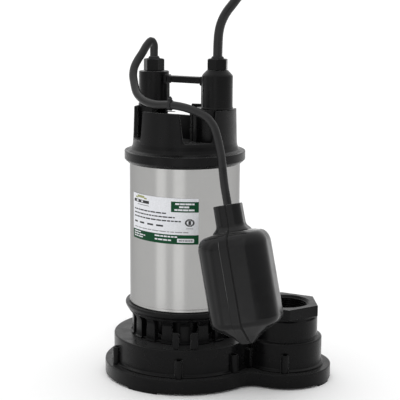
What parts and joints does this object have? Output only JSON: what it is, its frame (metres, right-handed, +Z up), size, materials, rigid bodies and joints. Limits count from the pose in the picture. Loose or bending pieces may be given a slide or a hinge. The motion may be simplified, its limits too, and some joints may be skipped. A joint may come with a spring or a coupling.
{
  "type": "submersible sump pump",
  "caption": "Upright submersible sump pump: steel motor shell, windowed cap with cord glands, strainer, volute with threaded side discharge, hanging float switch and coiled mains lead.",
  "frame": {"origin": "on the motor axis at floor level, at the centre of the foot in the middle of the base plate", "axes": "+Z up along the motor axis, +X towards the discharge port"},
  "size_m": [0.2386, 0.3527, 0.4126],
  "materials": {
    "pump_plastic": "satin charcoal moulded thermoplastic",
    "float_plastic": "semi-gloss charcoal plastic",
    "stainless": "fine vertical satin stainless steel",
    "steel": "machined steel",
    "lamination": "varnished electrical steel",
    "winding": "enamelled copper wire",
    "brass": "machined brass",
    "rubber": "matt black rubber",
    "cord_jacket": "satin dark grey vinyl jacket",
    "ceramic": "polished ceramic",
    "carbon": "carbon graphite",
    "label_film": "printed satin film",
    "inner_plastic": "moulded plastic"
  },
  "bodies": {
    "pump": {"base_plate": "pump_plastic", "volute_gasket": "rubber", "base_screw_1": "steel", "base_screw_2": "steel", "base_screw_3": "steel", "base_screw_4": "steel", "base_screw_5": "steel", "base_screw_6": "steel", "base_screw_7": "steel", "base_screw_8": "steel", "volute_casing": "pump_plastic", "strainer_ring": "pump_plastic", "seal_housing": "pump_plastic", "shell_bottom_seal": "rubber", "motor_shell": "stainless", "rating_label": "label_film", "top_cap": "pump_plastic", "shell_top_seal": "rubber", "power_gland_body": "pump_plastic", "float_gland_body": "pump_plastic", "power_gland_nut": "pump_plastic", "float_gland_nut": "pump_plastic", "power_cord_bushing": "rubber", "float_cord_bushing": "rubber", "carry_handle": "pump_plastic", "stator_core": "lamination", "stator_winding_lower": "winding", "stator_winding_upper": "winding", "lower_bearing_outer": "steel", "upper_bearing_outer": "steel", "shaft_seal_seat": "ceramic", "run_capacitor": "inner_plastic", "thermal_protector": "inner_plastic", "float_cord": "cord_jacket", "cord_tie": "rubber", "tie_bracket": "pump_plastic", "power_cord": "cord_jacket", "power_cord_coil": "cord_jacket", "power_cord_tail": "cord_jacket", "plug_body": "rubber", "plug_blade_left": "brass", "plug_blade_right": "brass", "plug_ground_pin": "brass"},
    "rotor": {"motor_shaft": "steel", "rotor_core": "lamination", "lower_bearing_inner": "steel", "upper_bearing_inner": "steel", "shaft_seal_head": "carbon", "shaft_seal_spring": "steel", "impeller": "pump_plastic", "impeller_nut": "steel"},
    "float": {"float_half_left": "float_plastic", "float_half_right": "float_plastic", "float_tether": "cord_jacket", "float_switch": "inner_plastic", "ball_tube": "inner_plastic"},
    "ball": {"float_ball": "steel"},
    "lever": {"switch_lever": "steel"}
  },
  "joints": [
    {"name": "rotor_spin", "type": "hinge", "parent": "pump", "child": "rotor", "pos_m": [0, 0, 0.15], "axis": [0, 0, 1], "continuous": true},
    {"name": "float_swing", "type": "hinge", "parent": "pump", "child": "float", "pos_m": [0.0348, -0.0551, 0.2724], "axis": [-0.682, -0.7314, 0], "range_deg": [0, 120]},
    {"name": "ball_roll", "type": "slide", "parent": "float", "child": "ball", "axis": [-0.1591, 0.1591, 0.9744], "range_m": [0, 0.029]},
    {"name": "lever_press", "type": "hinge", "parent": "float", "child": "lever", "pos_m": [0.05557, -0.07733, 0.12393], "axis": [-0.1159, -0.9831, 0.1416], "range_deg": [0, 6]}
  ]
}
